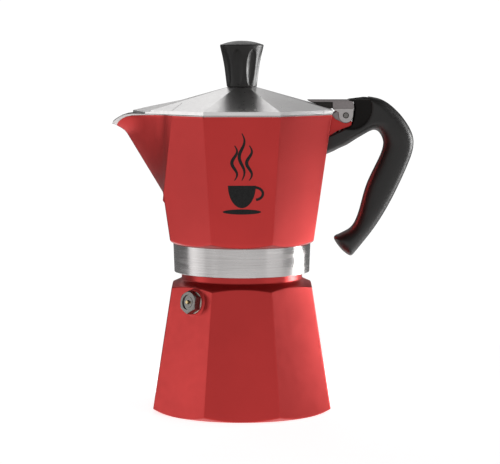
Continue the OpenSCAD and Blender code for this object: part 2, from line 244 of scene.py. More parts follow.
def noise(t, scale, detail=3, stretch=(1, 1, 1)):
    """Noise over the object's own space, stretched along the axes."""
    coord = t.nodes.new("ShaderNodeTexCoord")
    mapping = t.nodes.new("ShaderNodeMapping")
    mapping.inputs["Scale"].default_value = stretch
    n = t.nodes.new("ShaderNodeTexNoise")
    n.inputs["Scale"].default_value = scale
    n.inputs["Detail"].default_value = detail
    t.links.new(coord.outputs["Object"], mapping.inputs["Vector"])
    t.links.new(mapping.outputs["Vector"], n.inputs["Vector"])
    return n.outputs["Fac"]


def ramp(t, fac, stops):
    r = t.nodes.new("ShaderNodeValToRGB")
    while len(r.color_ramp.elements) < len(stops):
        r.color_ramp.elements.new(0.5)
    for e, (pos, col) in zip(r.color_ramp.elements, stops):
        e.position = pos
        e.color = (*col, 1) if len(col) == 3 else col
    t.links.new(fac, r.inputs["Fac"])
    return r.outputs["Color"]


def bump(t, height, distance, strength=1.0, below=None):
    b = t.nodes.new("ShaderNodeBump")
    b.inputs["Strength"].default_value = strength
    b.inputs["Distance"].default_value = distance
    t.links.new(height, b.inputs["Height"])
    if below is not None:
        t.links.new(below, b.inputs["Normal"])
    return b.outputs["Normal"]


def grey(v):
    return (v, v, v)


def red_lacquer():
    """Satin red lacquer with fine metal flake: faint orange peel and a slight drift of tone."""
    m, t, b = new_material("red_lacquer")
    tone = ramp(t, noise(t, 22, 4), [(0.3, (0.47, 0.027, 0.025)), (0.7, (0.53, 0.032, 0.03))])
    t.links.new(tone, b.inputs["Base Color"])
    b.inputs["Metallic"].default_value = 0.75
    rough = ramp(t, noise(t, 240, 3), [(0.3, grey(0.29)), (0.7, grey(0.36))])
    t.links.new(rough, b.inputs["Roughness"])
    peel = bump(t, noise(t, 900, 2), 0.000015, 0.3)
    t.links.new(bump(t, noise(t, 130, 2), 0.00006, 0.15, peel), b.inputs["Normal"])
    b.inputs["Coat Weight"].default_value = 0.12
    b.inputs["Coat Roughness"].default_value = 0.25
    return m


def radial_tangent(t, b, axis="Z"):
    tangent = t.nodes.new("ShaderNodeTangent")
    tangent.direction_type = "RADIAL"
    tangent.axis = axis
    t.links.new(tangent.outputs["Tangent"], b.inputs["Tangent"])


def brushed_aluminium(name, fine, along, rough, anisotropy):
    """Bare aluminium brushed round the axis; fine is the line density along each axis."""
    m, t, b = new_material(name)
    b.inputs["Metallic"].default_value = 1.0
    lines = noise(t, 1, 6, fine)
    broad = noise(t, 1, 3, along)
    tone = ramp(t, lines, [(0.25, (0.49, 0.47, 0.465)), (0.75, (0.64, 0.62, 0.615))])
    t.links.new(tone, b.inputs["Base Color"])
    r = ramp(t, broad, [(0.3, grey(rough - 0.05)), (0.7, grey(rough + 0.06))])
    t.links.new(r, b.inputs["Roughness"])
    t.links.new(bump(t, lines, 0.000003, 0.5), b.inputs["Normal"])
    b.inputs["Anisotropic"].default_value = anisotropy
    b.inputs["Anisotropic Rotation"].default_value = 0.25
    radial_tangent(t, b)
    return m


def satin_aluminium(name="satin_aluminium", rough=0.3, colour=(0.77, 0.757, 0.752)):
    """Bare aluminium sheet or casting with faint cloudy patches."""
    m, t, b = new_material(name)
    b.inputs["Metallic"].default_value = 1.0
    dark, light = (tuple(k * c for c in colour) for k in (0.96, 1.04))
    tone = ramp(t, noise(t, 60, 4), [(0.3, dark), (0.7, light)])
    t.links.new(tone, b.inputs["Base Color"])
    r = ramp(t, noise(t, 420, 4), [(0.3, grey(rough - 0.03)), (0.7, grey(rough + 0.05))])
    t.links.new(r, b.inputs["Roughness"])
    t.links.new(bump(t, noise(t, 700, 2), 0.000002, 0.4), b.inputs["Normal"])
    return m


def black_resin(name="black_resin", gloss=0.45, rough=0.4):
    """Moulded phenolic: near black, semi-gloss, with a very faint flow mottle."""
    m, t, b = new_material(name)
    tone = ramp(t, noise(t, 45, 5), [(0.3, (0.0058, 0.0050, 0.0046)), (0.7, (0.0100, 0.0088, 0.0081))])
    t.links.new(tone, b.inputs["Base Color"])
    r = ramp(t, noise(t, 320, 3), [(0.3, grey(rough - 0.04)), (0.7, grey(rough + 0.05))])
    t.links.new(r, b.inputs["Roughness"])
    t.links.new(bump(t, noise(t, 1500, 2), 0.00002, 0.4), b.inputs["Normal"])
    b.inputs["Specular IOR Level"].default_value = gloss
    return m


def machined(name, colour, rough):
    m, t, b = new_material(name)
    b.inputs["Metallic"].default_value = 1.0
    dark = tuple(c * 0.86 for c in colour)
    tone = ramp(t, noise(t, 900, 4), [(0.3, dark), (0.7, colour)])
    t.links.new(tone, b.inputs["Base Color"])
    r = ramp(t, noise(t, 1400, 3), [(0.3, grey(rough - 0.05)), (0.7, grey(rough + 0.08))])
    t.links.new(r, b.inputs["Roughness"])
    t.links.new(bump(t, noise(t, 3000, 3), 0.00001, 0.5), b.inputs["Normal"])
    return m


def rubber_material():
    m, t, b = new_material("seal_rubber")
    tone = ramp(t, noise(t, 300, 4), [(0.3, (0.62, 0.6, 0.53)), (0.7, (0.72, 0.7, 0.63))])
    t.links.new(tone, b.inputs["Base Color"])
    r = ramp(t, noise(t, 900, 3), [(0.3, grey(0.62)), (0.7, grey(0.75))])
    t.links.new(r, b.inputs["Roughness"])
    t.links.new(bump(t, noise(t, 1800, 2), 0.00003, 0.5), b.inputs["Normal"])
    return m


def printed_ink():
    m, t, b = new_material("printed_ink")
    tone = ramp(t, noise(t, 1200, 3), [(0.3, grey(0.008)), (0.7, grey(0.018))])
    t.links.new(tone, b.inputs["Base Color"])
    r = ramp(t, noise(t, 2000, 2), [(0.3, grey(0.5)), (0.7, grey(0.65))])
    t.links.new(r, b.inputs["Roughness"])
    b.inputs["Specular IOR Level"].default_value = 0.15
    return m


RED = red_lacquer()
COLLAR = brushed_aluminium("brushed_collar", (40, 40, 2600), (25, 25, 300), 0.26, 0.6)
INNER = satin_aluminium("cast_aluminium", 0.42)
LID_METAL = satin_aluminium()
RESIN = black_resin()
DULL_RESIN = black_resin("black_resin_dull", 0.12, 0.6)
STEEL = machined("valve_steel", (0.2, 0.19, 0.18), 0.24)
# Near-black steel standing in for shade: painted shadow on the web under the tab and round the pin heads.
PAINTED_SHADOW_STEEL = machined("painted_shadow_steel", (0.05, 0.046, 0.043), 0.45)
# Steel darker than the ears' steel: painted shade on the knuckle between the ears, on the tab and on the
# cheeks.
HINGE_METAL_PAINTED_SHADE = machined("hinge_metal_painted_shade", (0.27, 0.245, 0.245), 0.34)
EAR_STEEL = machined("ear_steel", (0.46, 0.435, 0.43), 0.32)
STAINED = satin_aluminium("stained_aluminium", 0.5, (0.2, 0.185, 0.175))
BRASS = machined("brass", (0.72, 0.55, 0.28), 0.32)
RUBBER = rubber_material()
INK = printed_ink()


# ------------------------------------------------------------------ octagons in polar form
def octagon_angles(extra=()):
    """Angles round the pot, crowded where the rounded corners are."""
    out = set(round(a, 4) for a in extra)
    near = (0, 0.2, 0.45, 0.75, 1.2, 2.0)
    for k in range(8):
        corner = 22.5 + 45 * k
        for d in near:
            out.add(round((corner + d) % 360, 4))
            out.add(round((corner - d) % 360, 4))
        for j in range(1, 12):
            out.add(round((corner + 2.0 + 41.0 * j / 12) % 360, 4))
    return [math.radians(a) for a in sorted(out)]


def octagon_radius(a, flat, soft=1.6):
    """Distance from the axis to an octagon's side at angle a; soft rounds its corners."""
    off = (math.degrees(a) + 22.5) % 45 - 22.5
    r = flat / math.cos(math.radians(off))
    psi = math.radians(22.5 - abs(off))
    c = (flat - soft) / FLAT
    tangent = math.atan2(soft * math.sin(math.radians(22.5)), c + soft * FLAT)
    if psi < tangent:
        r = c * math.cos(psi) + math.sqrt(soft ** 2 - (c * math.sin(psi)) ** 2)
    return r


# ------------------------------------------------------------------ boiler
def boiler_corner(z):
    return FOOT_R - BOILER_SLOPE * (z - FOOT_Z)


def boiler_column(a):
    chamfer = 0.612
    z0 = 0.0
    for _ in range(60):
        r = octagon_radius(a, boiler_corner(z0) * FLAT)
        z0 = lerp(z0, chamfer * (r - (FOOT_R - 4.7)), 0.5)
    z1 = FACET_H
    for _ in range(60):
        r = octagon_radius(a, boiler_corner(z1) * FLAT)
        z1 = lerp(z1, FACET_H + (SHOULDER_R - r) * 0.43, 0.5)
    r0 = octagon_radius(a, boiler_corner(z0) * FLAT)
    r1 = octagon_radius(a, boiler_corner(z1) * FLAT)
    soft = 0.5
    facet = []
    for k in range(1, 10):
        z = lerp(z0 + soft, z1 - soft, k / 10)
        facet.append((octagon_radius(a, boiler_corner(z) * FLAT), z))
    z_neck = FACET_H + (SHOULDER_R - NECK_R) * 0.43
    pts = [(0, 0), (30, 0), (FOOT_R - 5.4, 0), (FOOT_R - 4.9, 0.02), (FOOT_R - 4.4, 0.22),
           (lerp(FOOT_R - 4.7, r0, 0.5), z0 * 0.5), (r0 - soft, z0 - soft * 0.55), (r0 - 0.12, z0 + 0.02),
           (octagon_radius(a, boiler_corner(z0 + soft) * FLAT), z0 + soft)]
    pts += facet
    pts += [(octagon_radius(a, boiler_corner(z1 - soft) * FLAT), z1 - soft), (r1 - 0.15, z1 - 0.02),
            (r1 - soft, z1 + soft * 0.40), (lerp(r1, NECK_R, 0.5), lerp(z1, z_neck, 0.5)),
            (NECK_R + 1.2, z_neck - 0.45), (NECK_R + 0.35, z_neck + 0.05), (NECK_R, z_neck + 0.8),
            (NECK_R, 81), (NECK_R, 84), (NECK_R, 92), (NECK_R, NECK_TOP - 0.4),
            (NECK_R - 0.4, NECK_TOP), (34.8, NECK_TOP), (34.6, NECK_TOP - 0.2), (34.6, 94.2),
            (NECK_BORE + 0.2, 94.2), (NECK_BORE, 94.0), (NECK_BORE, FACET_H + 1),
            (NECK_BORE + 1.2, FACET_H - 1),
            (boiler_corner(FACET_H) * FLAT - 2.8, FACET_H - 6), (boiler_corner(9) * FLAT - 2.8, 10),
            (boiler_corner(4) * FLAT - 6, 5), (boiler_corner(4) * FLAT - 12, 3.7), (0, 3.6)]
    return pts


def thread(name, r_in, r_out, w_in, w_out, z0, material, body, pitch=3.5, turns=2.25):
    """Helical ridge of a right-hand thread."""
    steps = 48
    n = round(turns * steps)
    verts = []
    for i in range(n + 1):
        a = 2 * math.pi * i / steps
        z = z0 + pitch * i / steps
        fade = min(1, i / 8, (n - i) / 8)
        top = lerp(r_in, r_out, 0.15 + 0.85 * fade)
        for r, w in ((r_in, -w_in), (top, -w_out), (top, w_out), (r_in, w_in)):
            verts.append((r * math.cos(a), r * math.sin(a), z + w / 2))
    faces = [(0, 1, 2, 3), tuple(4 * n + k for k in (3, 2, 1, 0))]
    for i in range(n):
        for k in range(4):
            q = (k + 1) % 4
            faces.append((4 * i + k, 4 * i + q, 4 * i + 4 + q, 4 * i + 4 + k))
    return add_mesh(name, verts, faces, material, body)


VALVE_TILT = math.atan(BOILER_SLOPE * FLAT)
VALVE_AZ = math.radians(-135)
VALVE_Z, VALVE_SIDE = 67.0, 3.6


def valve_point(x, y, w):
    """A point in the valve's own axes, w outwards from the facet, as a point of the pot."""
    ct, st = math.cos(VALVE_TILT), math.sin(VALVE_TILT)
    rx = x * st + w * ct
    rz = -x * ct + w * st
    rx += boiler_corner(VALVE_Z) * FLAT
    ry = y + VALVE_SIDE
    ca, sa = math.cos(VALVE_AZ), math.sin(VALVE_AZ)
    return (rx * ca - ry * sa, rx * sa + ry * ca, VALVE_Z + rz)


def valve_boss():
    """Round pad cast on the facet under the valve."""
    profile = [(4.3, -1.5), (9.2, -1.5), (9.2, -0.1), (8.4, 0.0), (7.8, 0.18), (7.5, 0.5), (7.2, 0.66),
               (6.8, 0.7), (4.3, 0.7)]
    cols = []
    steps = 64
    for i in range(steps):
        a = 2 * math.pi * i / steps
        cols.append([valve_point(r * math.cos(a), r * math.sin(a), w) for r, w in profile])
    verts, faces = ring_grid(cols, True)
    return add_mesh("valve_boss", verts, faces, RED, "boiler")


def make_boiler():
    shell = polar_piece("boiler_shell", octagon_angles(), boiler_column, RED, "boiler")
    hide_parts("boiler")
    thread("boiler_thread", NECK_R - 0.2, NECK_R + 1.2, 2.6, 0.9, 85.2, RED, "boiler")
    valve_boss()


# ------------------------------------------------------------------ upper chamber
def chamber_corner(z):
    return CHAMBER_R + CHAMBER_SLOPE * (z - CHAMBER_Z)


SPOUT_Z = 128.6
SIDE_LOW, SIDE_HIGH = (-45.8, 19.0), (-40.2, 33.7)
TIP_X = 76.85
SECOND_CORNER = 67.5
SPOUT_BOW = 2.4
KEEL_X, KEEL_LEAN = -46.6, 0.6
FLARE_Z, FLARE = 163.8, 0.16
LIP_X, LIP_RUN, LIP_DROP = -63.3, 16, 13.5


def spout_side(z):
    """Where the spout's side leaves the chamber's slanting facet, as a distance along X and along Y."""
    u = (z - SPOUT_Z) / (RIM_Z - SPOUT_Z)
    return lerp(SIDE_LOW[0], SIDE_HIGH[0], u), lerp(SIDE_LOW[1], SIDE_HIGH[1], u)


def side_angle(z):
    x, y = spout_side(max(z, SPOUT_Z))
    return math.degrees(math.atan2(y, -x))


SPOUT_STEPS = np.array([0, 0.2, 0.4, 0.55, 0.65, 0.75, 0.82, 0.88, 0.92, 0.95, 0.975, 0.99, 1.0])


def spout_radius(off, z, inset):
    """Distance from the axis to the spout's side, off degrees from its middle; 0 away from the spout."""
    if z < SPOUT_Z - 5:
        return 0.0
    sx, sy = spout_side(z)
    sx, sy = sx + inset * 0.5, sy - inset
    keel = KEEL_X - KEEL_LEAN * (z - SPOUT_Z) + inset * 1.35
    flare = -FLARE * max(z - FLARE_Z, 0) ** 2
    d = SPOUT_STEPS
    bow = SPOUT_BOW * (z - SPOUT_Z) / (RIM_Z - SPOUT_Z) * np.sin(math.pi * np.clip(d, 0, 1)) * (1 - d)
    x = sx + (keel - sx) * d + flare * d ** 6 + bow
    y = (sy - bow * 0.8) * (1 - d)
    ang = np.degrees(np.arctan2(y, -x))
    if off > ang[0] + 0.001:
        return 0.0
    return float(np.interp(off, ang[::-1], np.hypot(x, y)[::-1]))


def chamber_point(column, z, inset=0.0):
    """Angle and radius of the chamber's wall on a column of the grid at height z."""
    kind, side, f = column
    if kind == "spout":
        off = f * side_angle(z)
    elif kind == "beside":
        off = lerp(side_angle(z), SECOND_CORNER, f)
    else:
        off = f
    a = math.radians(180 + side * off)
    r = octagon_radius(a, (chamber_corner(z) - inset) * FLAT)
    if kind == "spout":
        if z < 131:
            r = max(r, spout_radius(off, z, inset))
        else:
            skin = spout_radius(off, z, 0)
            r = max(min(r, skin - inset), spout_radius(off, z, inset)) if inset else skin
    if math.cos(a) < 0:
        r = min(r, (TIP_X - inset) / -math.cos(a))
    return a, r


def chamber_columns():
    """Columns once round the chamber; those near the spout follow its edge as it climbs."""
    inside = (0, 0.015, 0.035, 0.06, 0.09, 0.13, 0.18, 0.24, 0.31, 0.39, 0.48, 0.57, 0.66, 0.75, 0.83, 0.9,
              0.94, 0.965, 0.98, 0.99, 0.997, 1.0)
    beside = (0.006, 0.015, 0.03, 0.05, 0.1, 0.2, 0.35, 0.5, 0.65, 0.8, 0.9, 0.945, 0.967, 0.979, 0.9875,
              0.9945, 1.0)
    half = [("spout", f) for f in inside] + [("beside", f) for f in beside]
    columns = [(kind, -1, f) for kind, f in half[:0:-1]] + [(kind, 1, f) for kind, f in half]
    for a in octagon_angles():
        off = math.degrees(a) - 180
        if abs(off) > SECOND_CORNER + 0.05:
            columns.append(("fixed", 1, off))
    return sorted(columns, key=lambda c: chamber_point(c, RIM_Z)[0])


def lip_height(x):
    """Top of the wall: level, then curving down towards the spout's tip."""
    s = clamp((LIP_X - x) / LIP_RUN, 0, 0.95)
    return RIM_Z - LIP_DROP * (1 - math.sqrt(1 - s * s))


def wall_top(column, inset=0.0):
    z = RIM_Z
    for _ in range(40):
        a, r = chamber_point(column, z, inset)
        z = lerp(z, lip_height(r * math.cos(a)), 0.5)
    return z


def under_meet(column):
    """Height at which a facet meets the conical underside."""
    z = 100.5
    for _ in range(60):
        z = lerp(z, COLLAR_TOP + (chamber_point(column, z)[1] - COLLAR_R1) * UNDER_RISE, 0.4)
    return z


OUTER_ROWS = 44


def at(column, rows):
    """Rows of (radius, height) on a column, as (angle, radius, height)."""
    return [(chamber_point(column, z)[0], r, z) for r, z in rows]


def outer_rows(column, inset, top):
    """Points up the outside of the cup from its conical underside to the given top."""
    z0 = under_meet(column)
    soft = 0.6
    r0 = chamber_point(column, z0)[1]
    rows = [(r0 - soft - inset, z0 - soft * UNDER_RISE), (r0 - 0.15 - inset, z0 + 0.08)]
    for k in range(OUTER_ROWS + 1):
        z = lerp(z0 + soft, top, k / OUTER_ROWS)
        rows.append((chamber_point(column, z)[1] - inset, z))
    return rows


def paint_column(column):
    """Closed thin skin of lacquer on the outside of the cup."""
    top = wall_top(column)
    a, r = chamber_point(column, top)
    top -= 0.4 + 0.9 * smoothstep(43, 66, -r * math.cos(a))
    outside = [(COLLAR_R1 - 0.2, COLLAR_TOP + 0.05), (COLLAR_R1 + 0.6, COLLAR_TOP + 0.22)]
    outside += outer_rows(column, 0, top)
    inside = [(r - PAINT, z + (PAINT * 0.3 if i < 3 else -0.02)) for i, (r, z) in enumerate(outside)]
    return at(column, outside + inside[::-1])


def floor_fillet(z):
    """Largest radius of the cup's inside near its floor."""
    up = FLOOR_Z + 13.5 - z
    return 33 + math.sqrt(max(0, 13.5 ** 2 - up ** 2)) if up > 0 else 99


def casting_column(column):
    """Bare casting under the paint: cup wall, floor, collar and underside."""
    lip_w = 1.35
    top_out, top_in = wall_top(column), wall_top(column, lip_w)
    outer = outer_rows(column, PAINT * 0.8, top_out - 0.8)
    r_out = chamber_point(column, top_out)[1]
    r_in = chamber_point(column, top_in, lip_w)[1]
    lip = [(chamber_point(column, top_out - 0.72)[1] - 0.02, top_out - 0.72), (r_out, top_out - 0.3),
           (r_out - 0.3, top_out - 0.03), (lerp(r_out, r_in, 0.5), lerp(top_out, top_in, 0.5)),
           (r_in + 0.25, top_in - 0.02), (chamber_point(column, top_in - 0.3, lip_w)[1], top_in - 0.3)]
    inner = []
    for k in range(OUTER_ROWS):
        z = lerp(top_in - 0.9, FLOOR_Z + 0.5, k / (OUTER_ROWS - 1))
        wall = lerp(WALL, lip_w, smoothstep(158, 172, z))
        inner.append((min(chamber_point(column, z, wall)[1], floor_fillet(z)), z))
    under = [(COLLAR_R1 - 0.6, COLLAR_TOP), (COLLAR_R1 - 0.1, COLLAR_TOP - 0.05),
             (COLLAR_R1, COLLAR_TOP - 0.5),
             (lerp(COLLAR_R0, COLLAR_R1, 0.66), 93.5), (lerp(COLLAR_R0, COLLAR_R1, 0.33), 87.8),
             (COLLAR_R0 + 0.02, COLLAR_Z + 0.5), (COLLAR_R0 - 0.12, COLLAR_Z + 0.12),
             (COLLAR_R0 - 0.5, COLLAR_Z),
             (37.8, COLLAR_Z), (37.45, COLLAR_Z + 0.35), (37.4, 84), (37.4, 94.4), (36.4, 94.5), (36.4, 98.4),
             (31.6, 98.45), (31.6, 99.05), (29, 99.1), (5, FLOOR_Z - 1.4), (3.4, FLOOR_Z - 1.3)]
    floor = [(31, FLOOR_Z), (20, FLOOR_Z), (10.6, FLOOR_Z), (9.4, FLOOR_Z + 0.5), (8.6, FLOOR_Z + 1.9),
             (7, 110), (6.5, 125), (6.2, 140), (6, 153), (5.6, 154.8), (4.7, 155.8), (3.4, 156)]
    bore = [(3.4, 155.5), (3.4, 130), (3.4, 104)]
    low = [(chamber_point(column, COLLAR_Z)[0], r, z) for r, z in under[::-1]]
    high = [(chamber_point(column, COLLAR_Z)[0], r, z) for r, z in floor + bore]
    return low + at(column, outer + lip + inner) + high


def rim_cap():
    """Cap of the column, domed, with the bore closed under it."""
    profile = [(0, 154.2), (3.5, 154.2), (3.5, 155.6), (3.3, 156.1), (2.2, 156.5), (0, 156.6)]
    return lathe("column_cap", profile, INNER, "chamber", 48)


OUTLET_Z = 149.0


def column_outlets():
    """Dark mouths of the four side outlets near the column's top."""
    pieces = []
    for k in range(4):
        a = math.radians(45 + 90 * k)
        cols = []
        for i in range(24):
            t = 2 * math.pi * i / 24
            prof = [(1.6, 5.2), (1.6, 6.12), (1.85, 6.3), (2.15, 6.3), (2.15, 5.2)]
            col = []
            for r, w in prof:
                y, z = r * math.cos(t), OUTLET_Z + r * math.sin(t)
                col.append((w * math.cos(a) - y * math.sin(a), w * math.sin(a) + y * math.cos(a), z))
            cols.append(col)
        verts, faces = ring_grid(cols, True)
        pieces.append(add_mesh("outlet_ring_%d" % (k + 1), verts, faces, INNER, "chamber"))
    return pieces


def make_chamber():
    columns = chamber_columns()
    skin = [paint_column(c) for c in columns]
    paint = swept_shell("chamber_paint", skin, RED, "chamber", True)
    metal = [casting_column(c) for c in columns]
    casting = swept_shell("chamber_casting", metal, COLLAR, "chamber", True)
    casting.data.materials.append(STAINED)
    for p in casting.data.polygons:
        x, y, z = p.center / MM
        inward = (p.normal.x * x + p.normal.y * y) / math.hypot(x, y) < -0.3
        if z > FLOOR_Z - 0.5 and (inward or z < 130 and p.normal.z > 0.3):
            p.material_index = 1
    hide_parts("upper_chamber")
    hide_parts("upper_chamber")
    thread("collar_thread", 37.9, 36.2, 2.6, 0.9, 85.2 - 1.75, COLLAR, "chamber")
    rim_cap()
    column_outlets()
    make_bracket()


def arc(cx, cz, r, a0, a1, n):
    turn = [math.radians(lerp(a0, a1, k / n)) for k in range(n + 1)]
    return [(cx + r * math.cos(a), cz + r * math.sin(a)) for a in turn]


LUG_HALF = 6.0
EAR_IN, EAR_OUT = 6.2, 7.8
EAR_R = 4.3
TAB_Z = 183.5
SEAM_Z = 178.6
NOTCH_X, NOTCH_W = 49.3, 2.6


def make_bracket():
    """Cast lug behind the rim that carries the pin, and the web under it."""
    web = [(49.2, 159.4), (51.7, 162.4), (55.8, 165.2), (64.3, 168.5), (64.8, 171.2), (59.8, 171.4),
           (56.3, 172.1), (53.7, 174.8), (51.8, 175.6)]
    slab("hinge_web", rounded(web, 1.0, 3, True), -LUG_HALF + 0.4, LUG_HALF - 0.4, 0.5, RED, "chamber")
    knuckle = arc(PIN_X, PIN_Z, EAR_R + 0.4, -120, 140, 26) + [(54.6, 176.4), (52.6, 174.9), (54.7, 172.3)]
    # The knuckle is in the darker hinge steel: painted shade behind the lid's ears.
    slab("hinge_knuckle", knuckle, -LUG_HALF, LUG_HALF, 0.35, HINGE_METAL_PAINTED_SHADE, "chamber")


# ------------------------------------------------------------------ lid
LID_R = 57.0
BAND_Z = 178.1
LID_RISE = 0.29
BOSS_R = 8.8
BOSS_Z = BAND_Z + (LID_R - BOSS_R) * FLAT * LID_RISE
LID_Z = RIM_Z + 0.1
LID_WALL = 1.2
BEAK = ((-30, 0, 184.6), (-34.8, 19.8, 182.3), (-40.2, 34.2, 178.2), (-56.2, 18.6, 176.9),
        (-64.1, 1.2, 177.4), (-54.8, 0, 179.6))


def octagon_ring(corner, z):
    return [(x, y, z) for x, y in octagon(corner)]


def hull_object(name, points):
    """Convex solid round the points, used to build up or cut a piece."""
    bm = bmesh.new()
    for p in points:
        bm.verts.new([c * MM for c in p])
    bmesh.ops.convex_hull(bm, input=bm.verts)
    bmesh.ops.dissolve_limit(bm, angle_limit=0.002, verts=bm.verts, edges=bm.edges)
    mesh = bpy.data.meshes.new(name)
    bm.to_mesh(mesh)
    bm.free()
    return temp_object(name, mesh)


def beak_object(name, inset, drop):
    """Roof over the spout; inset and drop make the same form for its inside."""
    z0 = LID_Z - (1 if drop else 0)
    k = 1 - inset / 34
    near = [(x + inset, -y * (k if i < 4 else 1), max(z - drop, z0 + 0.2))
            for i, (x, y, z) in enumerate(BEAK[:5])]
    near[0] = (BEAK[0][0], 0, near[0][2])
    far = [(x, -y, z) for x, y, z in near[1:]]
    crest = (BEAK[5][0] + inset / 2, 0, BEAK[5][2] - drop)
    top = near + far + [crest]
    rim = [0, 1, 2, 3, 4, 8, 7, 6, 5]
    verts = top + [(top[i][0], top[i][1], z0) for i in rim]
    faces = [(0, 1, 2), (0, 2, 3), (0, 3, 9), (9, 3, 4), (9, 4, 8), (9, 8, 7), (0, 9, 7), (0, 7, 6),
             (0, 6, 5)]
    n = len(rim)
    faces += [(rim[i], 10 + i, 10 + (i + 1) % n, rim[(i + 1) % n]) for i in range(n)]
    faces.append(tuple(range(10, 10 + n)))
    mesh = bpy.data.meshes.new(name)
    mesh.from_pydata([[c * MM for c in v] for v in verts], [], faces)
    bm = bmesh.new()
    bm.from_mesh(mesh)
    bmesh.ops.recalc_face_normals(bm, faces=bm.faces)
    bm.to_mesh(mesh)
    bm.free()
    return temp_object(name, mesh)


def lid_solid(name, inset, drop):
    corner = LID_R - inset
    top = BAND_Z - drop
    points = octagon_ring(corner, LID_Z - (1 if drop else 0)) + octagon_ring(corner, top)
    points += octagon_ring(BOSS_R, top + (corner - BOSS_R) * FLAT * LID_RISE)
    obj = hull_object(name, points)
    combine(obj, beak_object(name + "_beak", inset, drop), "UNION")
    return obj


def soften(obj, width, angle=7):
    b = obj.modifiers.new("bevel", "BEVEL")
    b.width = width * MM
    b.segments = 3
    b.limit_method = "ANGLE"
    b.angle_limit = math.radians(angle)
    b.use_clamp_overlap = True
    apply_modifiers(obj)


def make_lid():
    shell = lid_solid("lid_shell", 0, 0)
    combine(shell, lid_solid("lid_inside", 1.6, LID_WALL), "DIFFERENCE")
    for y in (EAR_OUT, -EAR_OUT - NOTCH_W):
        notch = cutter_box("notch", (NOTCH_X, y, 170), (NOTCH_X + 6, y + NOTCH_W, 179.8))
        combine(shell, notch, "DIFFERENCE")
    boss = cutter_cylinder("boss", 0, BOSS_Z - 1.6, BOSS_R * FLAT - 0.6, 1.4, "Z")
    combine(shell, boss, "UNION")
    soften(shell, 0.28)
    finish_piece(shell, LID_METAL, "lid")
    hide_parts("lid")
    plate = [(38.8, TAB_Z), (38.8, TAB_Z - 0.4), (40.6, TAB_Z - 1.2), (65.2, TAB_Z - 1.2), (65.5, TAB_Z)]
    # The tab plate is in the darker hinge steel: painted shade.
    slab("lid_tab", plate, -EAR_OUT, EAR_OUT, 0.25, HINGE_METAL_PAINTED_SHADE, "lid")
    # The web under the tab is near-black steel: painted shadow of the cavity under the tab plate.
    wedge = [(39.8, TAB_Z - 0.9), (49.6, 178.5), (53.4, 178.5), (53.7, TAB_Z - 0.9)]
    slab("lid_tab_web", wedge, -LUG_HALF + 0.2, LUG_HALF - 0.2, 0.2, PAINTED_SHADOW_STEEL, "lid")
    cheek = [(53.2, TAB_Z - 1), (53.2, SEAM_Z), (65.9, SEAM_Z), (65.8, 180.4), (65.4, 181.9),
             (64.9, TAB_Z - 1)]
    ear = arc(PIN_X, PIN_Z, EAR_R, -180, -5, 22)
    ear += [(65.5, 176.5), (65.6, SEAM_Z), (53.9, SEAM_Z), (53.9, 177.6), (55.1, 177.1), (56.6, 176.2)]
    for side, name in ((-1, "front"), (1, "back")):
        y = sorted((side * EAR_IN, side * EAR_OUT))
        # The cheeks are in the darker hinge steel: painted shade beside the lighter ears.
        slab("lid_cheek_" + name, cheek, y[0], y[1], 0.25, HINGE_METAL_PAINTED_SHADE, "lid")
        y = sorted((side * EAR_IN, side * (EAR_OUT - 0.12)))
        slab("lid_ear_" + name, ear, y[0], y[1], 0.25, EAR_STEEL, "lid")
        pin_ring("pin_ring_" + name, side)


def pin_ring(name, side):
    """Ring round the pin's head in near-black steel: painted shade of the rolled groove there."""
    profile = [(PIN_R + 0.02, EAR_OUT - 0.4), (PIN_R + 0.02, EAR_OUT - 0.03), (PIN_R + 0.12, EAR_OUT + 0.02),
               (PIN_R + 0.42, EAR_OUT + 0.02), (PIN_R + 0.5, EAR_OUT - 0.04), (PIN_R + 0.5, EAR_OUT - 0.4)]
    steps = 40
    columns = []
    for i in range(steps):
        a = 2 * math.pi * i / steps
        columns.append([(PIN_X + r * math.cos(a), side * w, PIN_Z + r * math.sin(a)) for r, w in profile])
    verts, faces = ring_grid(columns, True)
    add_mesh(name, verts, faces, PAINTED_SHADOW_STEEL, "lid")


# ------------------------------------------------------------------ knob
FLUTES = 8
FLUTE_TURN = math.radians(-102.8)


def knob_profile(z):
    zs = [191, 192, 194.5, 198, 201.5, 205, 208.5, 212, 214.6, 215.3]
    rs = [8.75, 8.95, 9.25, 9.7, 10.15, 10.7, 11.35, 12.15, 12.75, 12.85]
    return float(np.interp(z, zs, rs))


def flute_depth(a, z):
    """Scooped flutes with arched ends."""
    step = 2 * math.pi / FLUTES
    off = (a - FLUTE_TURN + step / 2) % step - step / 2
    half = math.radians(17)
    up = (z - 202.6) / (10.4 if z > 202.6 else 10.6)
    span_here = half * math.sqrt(max(0.0, 1 - abs(up) ** 2.6))
    if span_here <= 0 or abs(off) >= span_here:
        return 0.0
    return 1.25 * (span_here / half) * (1 - (off / span_here) ** 2)


def knob_column(a):
    pts = [(0, 191), (7.6, 191), (8.4, 191.05)]
    rows = 70
    for k in range(rows + 1):
        z = lerp(191.3, 215.2, k / rows)
        pts.append((knob_profile(z) - flute_depth(a, z), z))
    pts += [(12.8, 215.55), (12.6, 215.8), (12.2, 215.95), (11.5, 216.15), (10, 216.65), (8, 217.2),
            (5.5, 217.7),
            (3, 218.0), (0, 218.1)]
    return pts


def make_knob():
    steps = 8 * 26
    angles = [2 * math.pi * i / steps for i in range(steps)]
    obj = polar_piece("knob_body", angles, knob_column, RESIN, "lid")
    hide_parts("knob")


